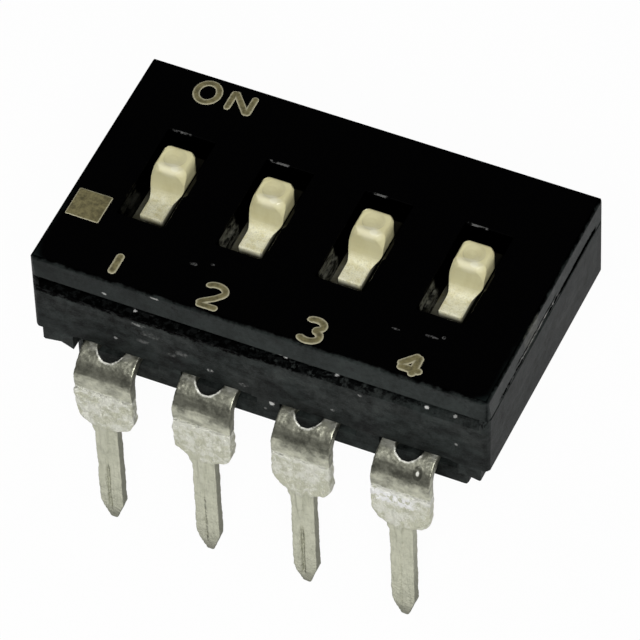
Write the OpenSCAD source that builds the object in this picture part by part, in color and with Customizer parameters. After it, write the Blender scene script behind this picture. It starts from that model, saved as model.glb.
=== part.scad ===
// Slide DIP switch for through-hole mounting, in the open (OFF) state.
// Z = 0 is at the tips of the terminals and +Z is up. The row of switches runs along X with
// switch 1 at the -X end, and the sliders move to +Y to close their contacts. Millimetres.

/* [Package] */
// Number of switches in the row
switches = 4; // [1:1:10]
// Distance between neighbouring switches
pitch = 2.54; // [2.3:0.01:3.2]
// From the first and last switch to the ends of the housing
end_margin = 2.01; // [1.8:0.01:2.6]
// Width of the housing across the row
body_width = 6.88; // [6.2:0.01:8.4]
// Height of the upper base, from the terminals to the cover
base_height = 1.79; // [1.7:0.01:2.4]
// Height of the narrow lower base, from its underside to the top of the terminals
lower_height = 1.14; // [0.9:0.01:1.4]
// Thickness of the cover plate
cover_thickness = 0.66; // [0.55:0.01:0.9]
// Radius of the upright corners
corner_radius = 0.22; // [0.08:0.01:0.3]
// Small radius along the edges of the top face
rim_radius = 0.09; // [0.03:0.01:0.12]
// How far a side wall of the base leans in over its height
side_draft = 0.02; // [0:0.01:0.1]

/* [Lower base] */
// How far the lower base stands in from the long sides
lower_inset_side = 0.3; // [0.2:0.01:0.5]
// How far the lower base stands in from the end beside the last switch
lower_inset_end = 0.66; // [0.4:0.01:0.8]
// How far it stands in from the end beside switch 1
lower_inset_first = 0.9; // [0.4:0.01:0.95]
// Width of the clear pocket on the right of a terminal
pocket_margin = 0.34; // [0.1:0.01:0.4]
// Depth of that pocket behind the face of the lower base
pocket_depth = 0.3; // [0.1:0.01:0.5]
// Height of the four corner feet
foot_height = 0.42; // [0.2:0.01:0.6]

/* [Parting groove] */
// Height of the groove under the cover on the long sides
groove_height = 0.3; // [0.15:0.01:0.5]
// Depth of that groove
groove_depth = 0.25; // [0.05:0.01:0.3]
// Length of full-height wall left at each corner
groove_end = 0.24; // [0.2:0.01:1]
// Chamfer where the cover and the base meet
parting_chamfer = 0.05; // [0.02:0.01:0.08]

/* [Terminals] */
// Thickness of the terminal strip
lead_thickness = 0.25; // [0.2:0.01:0.3]
// Width of the shoulder
lead_width = 1.5; // [1.2:0.01:1.8]
// Width of the tail
tail_width = 0.6; // [0.45:0.01:0.7]
// Length of the tail below the shoulder
tail_length = 3.45; // [2.5:0.01:4.5]
// Height of the housing's underside above the shoulder's seat
standoff = 1.14; // [1:0.01:2]
// Gap between the housing's side and the back of a tail
lead_gap = 0.245; // [0.2:0.005:0.5]
// Inner radius of the bend
bend_radius = 0.43; // [0.35:0.01:0.6]
// Radius of the hole at the root of the bend
root_hole_radius = 0.36; // [0.15:0.01:0.4]
// Width of the contact pad inside the housing
pad_width = 1; // [0.8:0.01:1.2]
// Gap between the two contact pads of a switch
pad_gap = 0.24; // [0.15:0.01:0.35]
// Length of the pointed end of a tail
point_length = 0.62; // [0.3:0.01:0.9]
// Width of the blunt end of the point
point_width = 0.2; // [0.1:0.01:0.3]
// How far the flat of the shoulder stands out from the bend
step_out = 0.025; // [0:0.005:0.04]
// Height of the rib that runs from the shoulder onto the tail
rib_height = 0.035; // [0.01:0.005:0.05]
// Length of that rib below the shoulder
rib_length = 1.15; // [0.5:0.01:2]
// Depth of the groove that goes on from the rib
seam_depth = 0.04; // [0.01:0.005:0.08]

/* [Slider] */
// Travel from open to closed
travel = 0.65; // [0.4:0.01:0.8]
// Width of the knob
knob_width = 0.87; // [0.7:0.01:1.1]
// How far the knob stands to the right of the ball's axis
knob_shift = 0.065; // [0:0.005:0.1]
// Length of the knob along its travel
knob_length = 0.88; // [0.6:0.01:1.1]
// Height of the knob above the cover
knob_height = 0.465; // [0.2:0.005:0.8]
// How far the rounded shoulders of the knob draw in towards its crown
knob_edge = 0.11; // [0.04:0.01:0.16]
// Rounding of the knob's top edge at its front
knob_brow = 0.14; // [0.04:0.01:0.16]
// Diameter of the dish in the knob
dish_diameter = 0.56; // [0.3:0.01:0.6]
// Depth of the dish
dish_depth = 0.045; // [0.01:0.005:0.08]
// Width of the foot and of the waist over it
waist_width = 0.6; // [0.4:0.01:0.68]
// How far the foot reaches in front of the knob
foot_reach = 0.83; // [0.4:0.01:1.1]
// Depth of the foot's top below the cover's top face
foot_drop = 0.35; // [0.2:0.01:0.45]
// Knob centre behind the axis of the ball
knob_offset = 0.615; // [0.2:0.005:0.9]
// Length of the slider's deck under the cover
deck_length = 3.8; // [2.8:0.01:4.4]
// Thickness of the deck
deck_thickness = 0.46; // [0.3:0.01:0.6]
// Outer diameter of the cup that holds the ball
cup_diameter = 1.3; // [1.1:0.01:1.4]

/* [Slots] */
// Clear space on the left of the knob
slot_left_gap = 0.28; // [0.15:0.01:0.3]
// Clear space on the right of the knob
slot_right_gap = 0.035; // [0.035:0.005:0.2]
// Clear space behind the closed knob
slot_back_gap = 0.07; // [0.07:0.01:0.3]
// Clear space in front of the open slider's foot
slot_front_gap = 0.42; // [0.15:0.01:0.6]
// Depth of the upper, wider part of a slot
slot_step_depth = 0.3; // [0.15:0.01:0.4]
// How far the slot's left, front and back walls lean in over the upper part
slot_draft = 0.035; // [0:0.005:0.06]
// Bevel round the rim of a slot
slot_bevel = 0.025; // [0.01:0.005:0.06]

/* [Contact] */
// Diameter of the contact ball
ball_diameter = 0.8; // [0.6:0.01:0.86]
// Wire diameter of the spring
wire_diameter = 0.1; // [0.06:0.01:0.13]
// Mean diameter of the spring
spring_diameter = 0.54; // [0.4:0.01:0.6]
// Turns of the spring
spring_turns = 3.75; // [2.5:0.25:5]

/* [Clearances] */
// Between the slider and what guides it
running = 0.03; // [0.02:0.005:0.06]
// Between the ball and its cup
ball_play = 0.03; // [0.02:0.005:0.06]
// Beyond the slider at each end of its travel
end_play = 0.05; // [0.03:0.01:0.2]
// Wall between neighbouring switches
partition = 0.5; // [0.4:0.01:0.7]
// Width of the rail under each side of a deck
rail_width = 0.27; // [0.15:0.01:0.3]

/* [Hidden] */
function numbered(name) = [for (i = [1:switches]) str(name, "_", i)];
$fn = 48;
cut = 0.02;            // overrun of a cut past the face that it opens
arc_steps = 6;         // straight steps in a rounded corner
touch = 0.01;          // gap round a seated peg, ball or spring end
lap = 0.1;             // overlap of two shapes that are joined into one piece
cover_draft = 0.03;    // lean of the cover's sides
top_lean = 0.01;       // side draft that is left at the top of the base
lower_chamfer = 0.07;  // along the underside of the lower base
lower_draft = 0.03;    // lean of the lower base's sides
groove_slope = 0.07;   // fall of the groove's floor towards the outside
pocket_drop = 0.34;    // clear space under a terminal in its pocket
pocket_lift = 0.04;    // and over it
pocket_left = 0.12;    // clear space on its left
foot_length = 0.46;    // of a corner foot along X
foot_width = 0.32;     // and along Y
foot_inset_x = 0.22;   // from the end of the housing to the foot
foot_inset_y = 0.04;   // from the side of the housing to the foot
foot_rise = 0.08;      // rise of the foot's underside towards the middle
foot_edge = 0.04;      // chamfer along the foot's outer edge
web_slope = 0.44;      // fall of the web from a foot to the lower base
peg_radius = 0.3;      // pegs of the cover
peg_length = 0.8;
peg_tip = 0.15;        // length of a peg's tapered end
peg_taper = 0.1;       // and how much slimmer it gets
peg_inset_x = 0.5;
peg_inset_y = 0.62;
gate_y = -0.62;        // middle of the gate scar
gate_z = 0.08;         // and its height over the parting line
gate_size = [0.16, 1.5, 0.14];
stub_size = [0.06, 1.2, 0.07];
slot_corner = 0.12;    // radius of a slot's corners
throat_step = 0.11;    // how much nearer the knob the slot's left wall stands in the lower part
deck_corner = 0.15;    // radius of a deck's corners
knob_front_corner = 0.06;       // radii of the knob's upright corners
knob_left_corner = 0.25;
knob_right_corner = 0.34;
knob_left_rise = 0.12;          // how high its sides stand upright over the cover
knob_right_rise = 0.2;
knob_back_edge = [0.16, 0.3];   // depth and height of the rounding of its back
crown_cone = [0.68, 0.43];      // radii of the cone that trims it, at the cover and at the crown
crown_y = 0.01;                 // how far in front of the knob's middle the cone's axis stands
dish_y = 0.02;                  // and the dish's centre
foot_chamfer = 0.02;   // along the front edge of the foot
hollow_reach = 0.36;   // from the knob's front to where its hollow meets the foot
hollow_height = 0.67;  // height of that hollow
knob_heel = 0.14;      // how far the knob's back draws in below the cover
heel_drop = 0.15;      // depth at which it starts to draw in
cup_grip = 0.125;      // part of the ball's diameter below its middle that the cup holds
bore_share = 0.6;      // part of the deck's thickness that the cup's bore takes
hole_inset = 0.11;     // from the side of the housing to the middle of the hole
root_length = 0.55;    // flat of a terminal behind its bend, as wide as the shoulder
root_taper = 0.15;     // length over which it narrows to the pad
step_drop = 0.45;      // from the middle of the bend to the flat of the shoulder
lead_shift = 0.03;     // how far a shoulder and its tail stand to the left of the switch
root_narrow = 0.08;    // how much narrower a terminal is on its left at the housing
root_slope = 0.85;     // height over which it widens to the shoulder
shoulder_round = 0.36; // lower corner of a shoulder on its right
shoulder_rise = 0.06;  // and how far it starts above the seat
tail_flare = 0.05;     // small flare where a tail meets its shoulder on the right
tip_chamfer = 0.03;    // on the end of a point
point_share = 0.7;     // part of the point's length over which its faces draw in
tip_lean = 0.07;       // how far each face of a tail draws in at the tip
rib_half = 0.09;       // half width of the rib where it is widest
rib_start = 0.5;       // how far above the seat it starts
seam_x = -0.05;        // middle of the rib and of the groove
seam_half = 0.035;     // half width of the groove
seam_end = 0.4;        // from the tip to the end of the groove

// Heights
seat_z = tail_length;
underside_z = seat_z + standoff;
lead_top_z = underside_z + lower_height;
lead_bottom_z = lead_top_z - lead_thickness;
parting_z = lead_top_z + base_height;
top_z = parting_z + cover_thickness;
deck_top_z = parting_z - running;
deck_bottom_z = deck_top_z - deck_thickness;
rail_z = deck_bottom_z - running;
ball_z = lead_top_z + ball_diameter / 2 + touch;
cup_bottom_z = ball_z - ball_diameter * cup_grip;
bore_top_z = deck_bottom_z + deck_thickness * bore_share;

// Lengths along X and Y
body_length = (switches - 1) * pitch + 2 * end_margin;
half_length = body_length / 2;
half_width = body_width / 2;
row_y = half_width + lead_gap + lead_thickness / 2;
outer_row_y = row_y + lead_thickness / 2;
bend_outer = bend_radius + lead_thickness;
bend_y = outer_row_y - bend_outer;
hole_y = half_width - hole_inset;
slider_y = -travel / 2;
cavity_half = deck_length / 2 + travel / 2 + end_play;
channel_half = (pitch - partition) / 2;
deck_half = channel_half - running;
lower_half_x = half_length - (lower_inset_end + lower_inset_first) / 2;
lower_x = (lower_inset_first - lower_inset_end) / 2;
lower_half_y = half_width - lower_inset_side;
neck_y = bend_y - root_length;           // where a terminal has narrowed to its pad
knob_back = knob_offset + knob_length / 2;
knob_front = knob_offset - knob_length / 2;
foot_front = knob_front - foot_reach;
slot_back = slider_y + knob_back + travel + slot_back_gap;
slot_front = slider_y + foot_front - slot_front_gap;
knob_left = knob_width / 2 - knob_shift;
knob_right = knob_width / 2 + knob_shift;
slot_left = knob_left + slot_left_gap;
slot_right = knob_right + slot_right_gap;
peg_x = half_length - peg_inset_x;
peg_y = half_width - peg_inset_y;

function switch_x(i) = (i - (switches + 1) / 2) * pitch;

// Points of an arc from angle a to angle b
function arc(x, y, r, a, b, steps = arc_steps) =
    [for (i = [0:steps]) let (t = a + (b - a) * i / steps) [x + r * cos(t), y + r * sin(t)]];

function rounded_outline(hx, hy, r) =
    concat(arc(hx - r, hy - r, r, 0, 90), arc(-hx + r, hy - r, r, 90, 180),
           arc(-hx + r, -hy + r, r, 180, 270), arc(hx - r, -hy + r, r, 270, 360));

// A closed outline from its two sides, each listed from the bottom up with X to the outside
function two_sides(right, left) =
    concat(right, [for (i = [len(left) - 1:-1:0]) [-left[i][0], left[i][1]]]);

function both_sides(side) = two_sides(side, side);

// Extrudes a YZ outline along X
module along_x(length) rotate([90, 0, 90]) linear_extrude(length, center = true) children();

// Extrudes an XZ outline along Y
module along_y(length) rotate([90, 0, 0]) linear_extrude(length, center = true) children();

// The block that an end outline, a side outline and a plan outline share
module moulded(side_yz, side_xz, hx, hy, r, z0, z1) {
    intersection() {
        along_x(2 * hx + 1) polygon(both_sides(side_yz));
        along_y(2 * hy + 1) polygon(both_sides(side_xz));
        translate([0, 0, z0]) linear_extrude(z1 - z0) polygon(rounded_outline(hx, hy, r));
    }
}

module box(x0, x1, y0, y1, z0, z1) translate([x0, y0, z0]) cube([x1 - x0, y1 - y0, z1 - z0]);

module at_switch(i) translate([switch_x(i), 0, 0]) children();

module at_each_switch() for (i = [1:switches]) at_switch(i) children();

module both_rows() {
    children();
    mirror([0, 1, 0]) children();
}

module four_corners(x, y)
    for (sx = [-1, 1], sy = [-1, 1]) translate([sx * x, sy * y, 0]) children();

// ---- Base ----

function base_side(half) =
    [[half - side_draft, lead_top_z], [half - top_lean, parting_z - parting_chamfer],
     [half - top_lean - parting_chamfer, parting_z]];

function lower_side(half) =
    [[half - lower_draft - lower_chamfer, underside_z],
     [half - lower_draft, underside_z + lower_chamfer], [half, lead_top_z]];

module switch_cavity() {
    box(-channel_half, channel_half, -cavity_half, cavity_half, rail_z, parting_z + cut);
    box(rail_width - channel_half, channel_half - rail_width, -cavity_half, cavity_half,
        lead_top_z, parting_z);
}

module side_groove() {
    box(groove_end - half_length, half_length - groove_end, -half_width - cut,
        groove_depth - half_width, parting_z - groove_height, parting_z + cut);
    translate([0, groove_depth - half_width, parting_z - groove_height])
        along_x(2 * (half_length - groove_end))
            polygon([[0, cut], [-groove_depth, -groove_slope], [-groove_depth - cut, 2 * cut],
                     [-cut, 2 * cut]]);
}

module terminal_pocket() {
    box(-lead_width / 2 - lead_shift - pocket_left, lead_width / 2 - lead_shift + pocket_margin,
        -half_width - cut, pocket_depth - lower_half_y, lead_bottom_z - pocket_drop,
        lead_top_z + pocket_lift);
}

// A foot at the +X end and +Y side, with the web that joins it to the lower base
module corner_foot(lower_end) {
    outer_x = half_length - foot_inset_x;
    inner_x = outer_x - foot_length;
    web_x = min(lower_end, inner_x) - lap;
    foot_z = lead_top_z - foot_height;
    translate([0, half_width - foot_inset_y - foot_width / 2, 0]) along_y(foot_width)
        polygon([[web_x, foot_z + foot_rise - web_slope * (inner_x - web_x)],
                 [inner_x, foot_z + foot_rise], [outer_x - foot_edge, foot_z],
                 [outer_x, foot_z + foot_edge], [outer_x, lead_top_z + lap],
                 [web_x, lead_top_z + lap]]);
}

module base() {
    color([0.13, 0.14, 0.15]) difference() {
        union() {
            moulded(base_side(half_width), base_side(half_length), half_length, half_width,
                    corner_radius, lead_top_z, parting_z);
            translate([lower_x, 0, 0])
                moulded(lower_side(lower_half_y), lower_side(lower_half_x), lower_half_x,
                        lower_half_y, corner_radius, underside_z, lead_top_z + lap);
            both_rows() {
                corner_foot(half_length - lower_inset_end);
                mirror([1, 0, 0]) corner_foot(half_length - lower_inset_first);
            }
        }
        both_rows() side_groove();
        at_each_switch() {
            switch_cavity();
            both_rows() terminal_pocket();
            terminal_blank(front_pad_end);
            mirror([0, 1, 0]) terminal_blank(back_pad_end);
        }
        four_corners(peg_x, peg_y)
            translate([0, 0, parting_z - peg_length - lap])
                cylinder(r = peg_radius + touch, h = peg_length + lap + cut);
    }
}

// ---- Cover ----

function cover_side(half) =
    concat([[half - parting_chamfer, parting_z], [half, parting_z + parting_chamfer]],
           arc(half - cover_draft - rim_radius, top_z - rim_radius, rim_radius, 0, 90));

// Upper part of a slot: a bevelled rim over walls that lean in, apart from the one on the right
module slot_window() {
    half = (slot_back - slot_front) / 2;
    right = [[slot_right - touch, -slot_step_depth], [slot_right, -slot_bevel],
             [slot_right + slot_bevel, 0], [slot_right + slot_bevel + cut, cut]];
    left = [[slot_left - slot_draft, -slot_step_depth], [slot_left, -slot_bevel],
            [slot_left + slot_bevel, 0], [slot_left + slot_bevel + cut, cut]];
    translate([0, (slot_back + slot_front) / 2, top_z]) intersection() {
        along_y(4 * half) polygon(two_sides(right, left));
        along_x(4) polygon(both_sides([for (p = left) [p[0] - slot_left + half, p[1]]]));
        translate([(slot_right - slot_left) / 2, 0, -slot_step_depth])
            linear_extrude(slot_step_depth + cut)
                polygon(rounded_outline((slot_right + slot_left) / 2 + slot_bevel + cut,
                                        half + slot_bevel + cut, slot_corner));
    }
}

// Lower part of a slot, wide enough for the knob to be put in from below
module slot_throat() {
    throat_left = slot_left - throat_step;
    throat_right = slot_right - 2 * touch;
    throat_back = slot_back - slot_draft - touch;
    throat_front = slot_front + slot_draft + touch;
    translate([(throat_right - throat_left) / 2, (throat_back + throat_front) / 2, parting_z - cut])
        linear_extrude(cover_thickness - slot_step_depth + 2 * cut)
            polygon(rounded_outline((throat_right + throat_left) / 2,
                                    (throat_back - throat_front) / 2, slot_corner));
}

// Scar of the moulding gate in the end wall, with the broken stub still in it
module gate_scar() {
    translate([half_length, gate_y, parting_z + gate_z]) difference() {
        cube(gate_size, center = true);
        translate([-stub_size[0], 0, 0]) cube(stub_size, center = true);
    }
}

module cover() {
    color([0.04, 0.04, 0.045]) {
        difference() {
            moulded(cover_side(half_width), cover_side(half_length), half_length, half_width,
                    corner_radius, parting_z, top_z);
            at_each_switch() {
                slot_window();
                slot_throat();
            }
            gate_scar();
        }
        four_corners(peg_x, peg_y) translate([0, 0, parting_z - peg_length]) {
            translate([0, 0, peg_tip]) cylinder(r = peg_radius, h = peg_length);
            cylinder(r1 = peg_radius - peg_taper, r2 = peg_radius, h = peg_tip);
        }
    }
}

// ---- Slider ----

knob_crown_z = top_z + knob_height;
waist_z = top_z - foot_drop;

// One side of the knob seen from the front: from the waist out to its full width at the cover,
// upright over the cover, then rounded in to the crown
function knob_side(half, rise) = concat(
    [[waist_width / 2, parting_z - lap], [waist_width / 2, waist_z]],
    [for (i = [1:8]) let (t = i / 8)
        [waist_width / 2 + (half - waist_width / 2) * sin(90 * t), waist_z + foot_drop * t]],
    [for (i = [0:8]) let (t = 90 * i / 8)
        [half - knob_edge * (1 - cos(t)), top_z + rise + (knob_height - rise) * sin(t)]]);

// Side outline: a hollow front that runs out onto the foot, and a back that rounds over
knob_side_yz = concat(
    [[foot_front, parting_z - lap], [foot_front, waist_z - foot_chamfer],
     [foot_front + foot_chamfer, waist_z]],
    [for (i = [0:9]) let (t = 90 * i / 9)
        [knob_front - hollow_reach * (1 - sin(t)), waist_z + hollow_height * (1 - cos(t))]],
    arc(knob_front + knob_brow, knob_crown_z - knob_brow, knob_brow, 180, 90),
    [for (i = [0:8]) let (t = 90 * i / 8)
        [knob_back - knob_back_edge[0] * (1 - sin(t)),
         knob_crown_z - knob_back_edge[1] * (1 - cos(t))]],
    [[knob_back, top_z - heel_drop], [knob_back - knob_heel, waist_z],
     [knob_back - knob_heel, parting_z - lap]]);

// Plan of the knob and its foot, with the corners at the back well rounded
knob_plan = concat(
    arc(knob_right - knob_right_corner, knob_back - knob_right_corner, knob_right_corner, 0, 90),
    arc(knob_left_corner - knob_left, knob_back - knob_left_corner, knob_left_corner, 90, 180),
    arc(knob_front_corner - knob_left, foot_front + knob_front_corner, knob_front_corner, 180, 270),
    arc(knob_right - knob_front_corner, foot_front + knob_front_corner, knob_front_corner, 270, 360));

// The cone that rounds off the crown, over a disc that clears all the rest of the knob
module crown_trim() {
    slope = (crown_cone[0] - crown_cone[1]) / knob_height;
    translate([knob_shift, knob_offset - crown_y, 0]) rotate_extrude()
        polygon([[0, parting_z - 2 * lap], [2, parting_z - 2 * lap], [2, top_z],
                 [crown_cone[0], top_z], [crown_cone[1] - slope * lap, knob_crown_z + lap],
                 [0, knob_crown_z + lap]]);
}

module knob() {
    intersection() {
        along_x(2) polygon(knob_side_yz);
        translate([0, knob_offset, 0]) along_y(4)
            polygon(two_sides(knob_side(knob_right, knob_right_rise),
                              knob_side(knob_left, knob_left_rise)));
        translate([0, 0, parting_z - lap])
            linear_extrude(knob_crown_z - parting_z + 2 * lap) polygon(knob_plan);
        crown_trim();
    }
}

module deck() {
    translate([0, 0, deck_bottom_z]) linear_extrude(deck_thickness)
        polygon(rounded_outline(deck_half, deck_length / 2, deck_corner));
}

dish_radius = (pow(dish_diameter / 2, 2) + pow(dish_depth, 2)) / (2 * dish_depth);

module slider_body() {
    difference() {
        union() {
            deck();
            knob();
            translate([0, 0, cup_bottom_z])
                cylinder(d = cup_diameter, h = deck_bottom_z - cup_bottom_z + lap);
        }
        translate([0, 0, cup_bottom_z - cut])
            cylinder(d = ball_diameter + 2 * ball_play, h = bore_top_z - cup_bottom_z + cut);
        translate([0, knob_offset - dish_y, knob_crown_z + dish_radius - dish_depth])
            sphere(r = dish_radius, $fn = 96);
    }
}

module slider(i) color([0.84, 0.81, 0.66]) at_switch(i) translate([0, slider_y, 0]) slider_body();

// ---- Spring and ball ----

spring_bottom_z = ball_z + sqrt(pow((ball_diameter + wire_diameter) / 2 + touch, 2)
                                - pow(spring_diameter / 2, 2));
spring_top_z = bore_top_z - wire_diameter / 2 - touch;

module spring_coil() {
    steps = round(14 * spring_turns);
    sides = 6;
    rise = (spring_top_z - spring_bottom_z) / steps;
    lean = atan(rise * steps / (spring_turns * PI * spring_diameter));
    points = [for (i = [0:steps], k = [0:sides - 1])
        let (turn = 360 * spring_turns * i / steps, a = 360 * k / sides,
             out = spring_diameter / 2 + wire_diameter / 2 * cos(a),
             along = -wire_diameter / 2 * sin(a) * sin(lean))
        [out * cos(turn) - along * sin(turn), out * sin(turn) + along * cos(turn),
         spring_bottom_z + rise * i + wire_diameter / 2 * sin(a) * cos(lean)]];
    rings = [for (i = [0:steps - 1], k = [0:sides - 1])
        let (a = i * sides + k, b = i * sides + (k + 1) % sides)
        [b, a, a + sides, b + sides]];
    first_cap = [for (k = [0:sides - 1]) k];
    last_cap = [for (k = [sides - 1:-1:0]) steps * sides + k];
    polyhedron(points, concat([first_cap, last_cap], rings), convexity = 6);
}

module spring(i) color([0.72, 0.73, 0.75]) at_switch(i) translate([0, slider_y, 0]) spring_coil();

module ball(i) color([0.85, 0.7, 0.35]) at_switch(i) translate([0, slider_y, ball_z])
    sphere(d = ball_diameter);

// ---- Terminals ----

pad_gap_y = travel / 2;                        // the closed ball rests over this gap
front_pad_end = pad_gap_y - pad_gap / 2;
back_pad_end = -(pad_gap_y + pad_gap / 2);     // in the mirrored frame of the rear row

// Strip bent from the pad down into the tail, seen from the side
module strip_outline(pad_end) {
    outer_y = -outer_row_y;
    inner_y = -row_y + lead_thickness / 2;
    centre_y = -bend_y;
    centre_z = lead_top_z - bend_outer;
    step_z = centre_z - step_drop;
    polygon(concat(
        [[pad_end, lead_top_z]],
        arc(centre_y, centre_z, bend_outer, 90, 180, 10),
        [[outer_y, step_z], [outer_y - step_out, step_z - step_out],
         [outer_y - step_out, seat_z], [outer_y, seat_z - lap], [outer_y, point_length * point_share],
         [outer_y + tip_lean, 0], [inner_y - tip_lean, 0], [inner_y, point_length * point_share]],
        arc(centre_y, centre_z, bend_radius, 180, 90, 8),
        [[pad_end, lead_bottom_z]]));
}

// Left edge of a shoulder: part of the way out from the tail's edge, and height over the seat
shoulder_left = [[0, -0.3], [0.13, -0.2], [0.2, -0.02], [0.58, 0.1], [0.86, 0.27], [0.97, 0.45],
                 [1, 0.7]];

// Shoulder, tail and point, seen from the front
module lead_front_outline() {
    w = lead_width / 2;
    t = tail_width / 2;
    e = point_width / 2;
    translate([-lead_shift, 0]) polygon(concat(
        [[-e, tip_chamfer], [-e + tip_chamfer, 0], [e - tip_chamfer, 0], [e, tip_chamfer],
         [t, point_length], [t, seat_z - tail_flare], [t + tail_flare, seat_z]],
        arc(w - shoulder_round, seat_z + shoulder_rise + shoulder_round, shoulder_round, 300, 360),
        [[w, lead_top_z + 1], [root_narrow - w, lead_top_z + 1], [root_narrow - w, lead_top_z],
         [-w, lead_top_z - root_slope]],
        [for (i = [len(shoulder_left) - 1:-1:0])
            [-t - (w - t) * shoulder_left[i][0], seat_z + shoulder_left[i][1]]],
        [[-t, point_length]]));
}

// Plan of the flat part: wide at the root and narrow at the pad
module lead_plan(pad_end) {
    w = lead_width / 2 + lead_shift;
    p = pad_width / 2;
    polygon([[-w, -row_y - 1], [w, -row_y - 1], [w, -neck_y - root_taper], [p, -neck_y], [p, pad_end],
             [-p, pad_end], [-p, -neck_y], [-w, -neck_y - root_taper]]);
}

// The terminal before its hole is pierced; the base closes round this shape
module terminal_blank(pad_end) {
    intersection() {
        along_x(lead_width + 1) strip_outline(pad_end);
        along_y(4 * row_y) lead_front_outline();
        linear_extrude(lead_top_z + 1) lead_plan(pad_end);
    }
}

// Tapered rib that runs from the shoulder onto the tail
module tail_rib() {
    end_z = seat_z - rib_length;
    waist = seat_z - rib_length * 0.75;
    translate([seam_x - lead_shift, -outer_row_y, 0]) intersection() {
        along_y(1) polygon([[0, end_z], [rib_half * 0.7, waist], [rib_half, seat_z + rib_start],
                            [-rib_half, seat_z + rib_start], [-rib_half * 0.7, waist]]);
        along_x(1) polygon([[cut, end_z], [cut, seat_z + rib_start], [-step_out, seat_z + rib_start],
                            [-rib_height, seat_z], [-rib_height * 0.7, waist], [0, end_z]]);
    }
}

// Groove that goes on from the rib nearly to the tip
module tail_seam() {
    translate([seam_x - lead_shift, -outer_row_y, seam_end])
        linear_extrude(seat_z - rib_length - seam_end)
            polygon([[-seam_half, 0], [-seam_half, -lap], [seam_half, -lap], [seam_half, 0],
                     [0, seam_depth]]);
}

module terminal_body(pad_end) {
    difference() {
        union() {
            terminal_blank(pad_end);
            tail_rib();
        }
        tail_seam();
        translate([0, -hole_y, lead_bottom_z - 1]) cylinder(r = root_hole_radius, h = 2);
    }
}

module terminal_front(i) color([0.72, 0.71, 0.66]) at_switch(i) terminal_body(front_pad_end);

module terminal_back(i) color([0.72, 0.71, 0.66]) at_switch(i)
    mirror([0, 1, 0]) terminal_body(back_pad_end);

base();
cover();
for (i = [1:switches]) {
    slider(i);
    spring(i);
    ball(i);
    terminal_front(i);
    terminal_back(i);
}
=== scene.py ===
"""Finishes, printed marks, moulded knobs, stamped terminals and a studio for a slide DIP switch.

Run as a script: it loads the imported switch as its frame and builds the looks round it, in metres.
"""

import math

import bmesh
import bpy
from mathutils import Matrix, Vector, noise

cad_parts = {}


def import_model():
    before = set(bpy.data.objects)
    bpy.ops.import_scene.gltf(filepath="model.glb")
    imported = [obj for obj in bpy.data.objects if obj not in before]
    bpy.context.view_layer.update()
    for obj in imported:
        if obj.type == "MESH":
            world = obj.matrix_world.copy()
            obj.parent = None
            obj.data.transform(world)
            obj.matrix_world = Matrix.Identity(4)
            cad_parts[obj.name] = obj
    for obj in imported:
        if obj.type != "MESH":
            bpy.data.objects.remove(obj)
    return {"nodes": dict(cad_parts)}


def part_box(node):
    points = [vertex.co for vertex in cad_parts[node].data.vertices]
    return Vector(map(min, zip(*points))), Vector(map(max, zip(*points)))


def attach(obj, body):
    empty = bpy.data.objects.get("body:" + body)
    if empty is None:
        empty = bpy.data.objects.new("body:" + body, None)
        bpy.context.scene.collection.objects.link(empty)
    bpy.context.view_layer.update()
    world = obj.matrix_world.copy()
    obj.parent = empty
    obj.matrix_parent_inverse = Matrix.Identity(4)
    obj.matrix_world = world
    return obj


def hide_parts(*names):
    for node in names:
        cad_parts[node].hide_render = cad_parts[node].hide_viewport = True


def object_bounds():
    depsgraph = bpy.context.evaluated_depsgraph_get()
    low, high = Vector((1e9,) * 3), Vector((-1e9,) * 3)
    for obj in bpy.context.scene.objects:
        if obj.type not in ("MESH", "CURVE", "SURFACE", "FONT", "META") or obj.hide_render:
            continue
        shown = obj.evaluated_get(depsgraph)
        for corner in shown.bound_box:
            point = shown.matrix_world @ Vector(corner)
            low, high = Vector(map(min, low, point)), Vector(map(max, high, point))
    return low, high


bl_info = {
    "name": "Slide Switch Finisher",
    "version": (1, 0, 0),
    "blender": (4, 5, 0),
    "location": "3D View > Sidebar > Switch",
    "description": "Gives a packed slide DIP switch its plastics, ink, tin plating and studio",
    "category": "Object",
}

MM = 0.001
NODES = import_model()["nodes"]
CAD_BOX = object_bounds()
NUMBERS = sorted(int(name.split("_")[-1]) for name in NODES if name.startswith("slider_"))


def node_box_mm(name):
    """Lowest and highest corner of a CAD node, in millimetres."""
    low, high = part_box(name)
    return low / MM, high / MM


def switch_x(number):
    """Middle of one switch along the row, in millimetres."""
    low, high = node_box_mm(f"slider_{number}")
    return (low.x + high.x) / 2


# Places in millimetres
COVER_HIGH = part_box("cover")[1]
HALF_LENGTH = COVER_HIGH.x / MM
HALF_WIDTH = COVER_HIGH.y / MM
TOP_Z = COVER_HIGH.z / MM
PARTING_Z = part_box("base")[1].z / MM                 # top of the base in the middle of the sides
ROOT_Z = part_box("terminal_front_1")[1].z / MM        # top of the terminals' flat roots
BEND_HEIGHT = 1.13                                   # height of the terminals' bend
STEP_Z = ROOT_Z - BEND_HEIGHT                        # lower edge of that bend
SEAT_Z = 3.45                                        # where the tails leave their shoulders
HOLE_Y = HALF_WIDTH - 0.11                           # middle of the holes in the roots
FOOT_Y = node_box_mm(f"slider_{NUMBERS[0]}")[0].y    # front end of the sliders' feet
FIRST_X = switch_x(NUMBERS[0])
PITCH = (switch_x(NUMBERS[-1]) - FIRST_X) / (len(NUMBERS) - 1)
SLOT_LEFT = -0.61                                    # left wall of a slot, from the switch's middle
SLOT_BACK = 1.455                                    # back edge of the slots


# ---- Sizes and colours that a user would change ----


def colour(name, description, default):
    return bpy.props.FloatVectorProperty(name=name, description=description, subtype="COLOR", size=3,
                                         min=0, max=1, default=default)


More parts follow.
